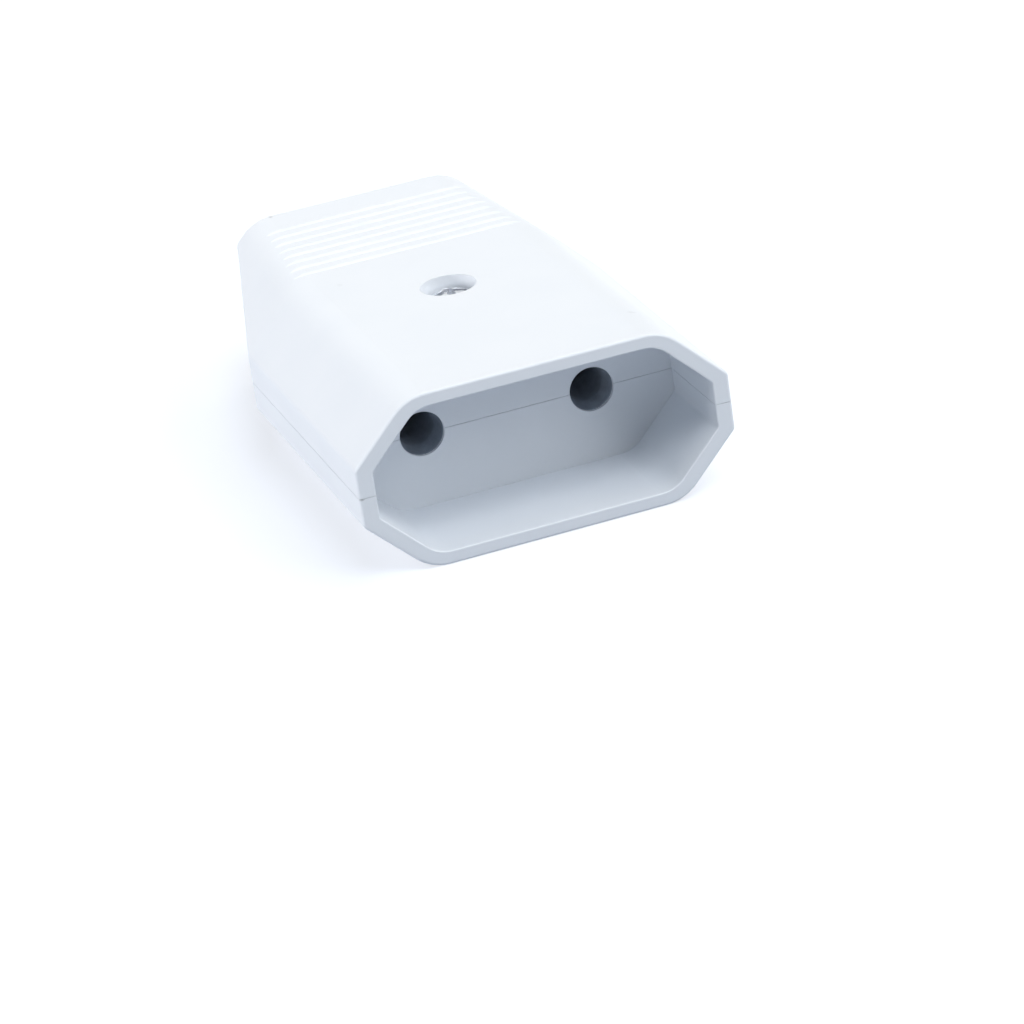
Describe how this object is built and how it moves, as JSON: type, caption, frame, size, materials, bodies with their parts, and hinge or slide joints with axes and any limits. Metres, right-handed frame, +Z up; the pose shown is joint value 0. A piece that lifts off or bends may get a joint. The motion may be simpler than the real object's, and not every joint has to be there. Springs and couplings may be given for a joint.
{
  "type": "rewirable socket",
  "caption": "Rewirable in-line socket: moulded half shells with an octagonal plug recess, plated pin contacts, cord clamp and a soft cable sleeve.",
  "frame": {"origin": "on the resting face, under the middle of the length from mouth to sleeve tip", "axes": "+Y from the mouth to the cable end, +Z up through the screw side, +X to the right of the mouth"},
  "size_m": [0.04, 0.071, 0.0187],
  "materials": {
    "white_plastic": "moulded satin gloss, cool white",
    "soft_sleeve": "soft matt, light grey-white",
    "nickel": "bright nickel plate",
    "plated_brass": "turned brass, dull nickel plate",
    "clamp_plastic": "moulded matt"
  },
  "bodies": {
    "root": {"base_shell": "white_plastic", "cover_shell": "white_plastic", "cable_sleeve": "soft_sleeve", "cover_screw": "nickel", "cover_nut": "nickel", "contact_left": "plated_brass", "contact_right": "plated_brass", "terminal_screw_left": "nickel", "terminal_screw_right": "nickel", "cord_clamp": "clamp_plastic", "clamp_screw_left": "nickel", "clamp_screw_right": "nickel"}
  },
  "joints": []
}
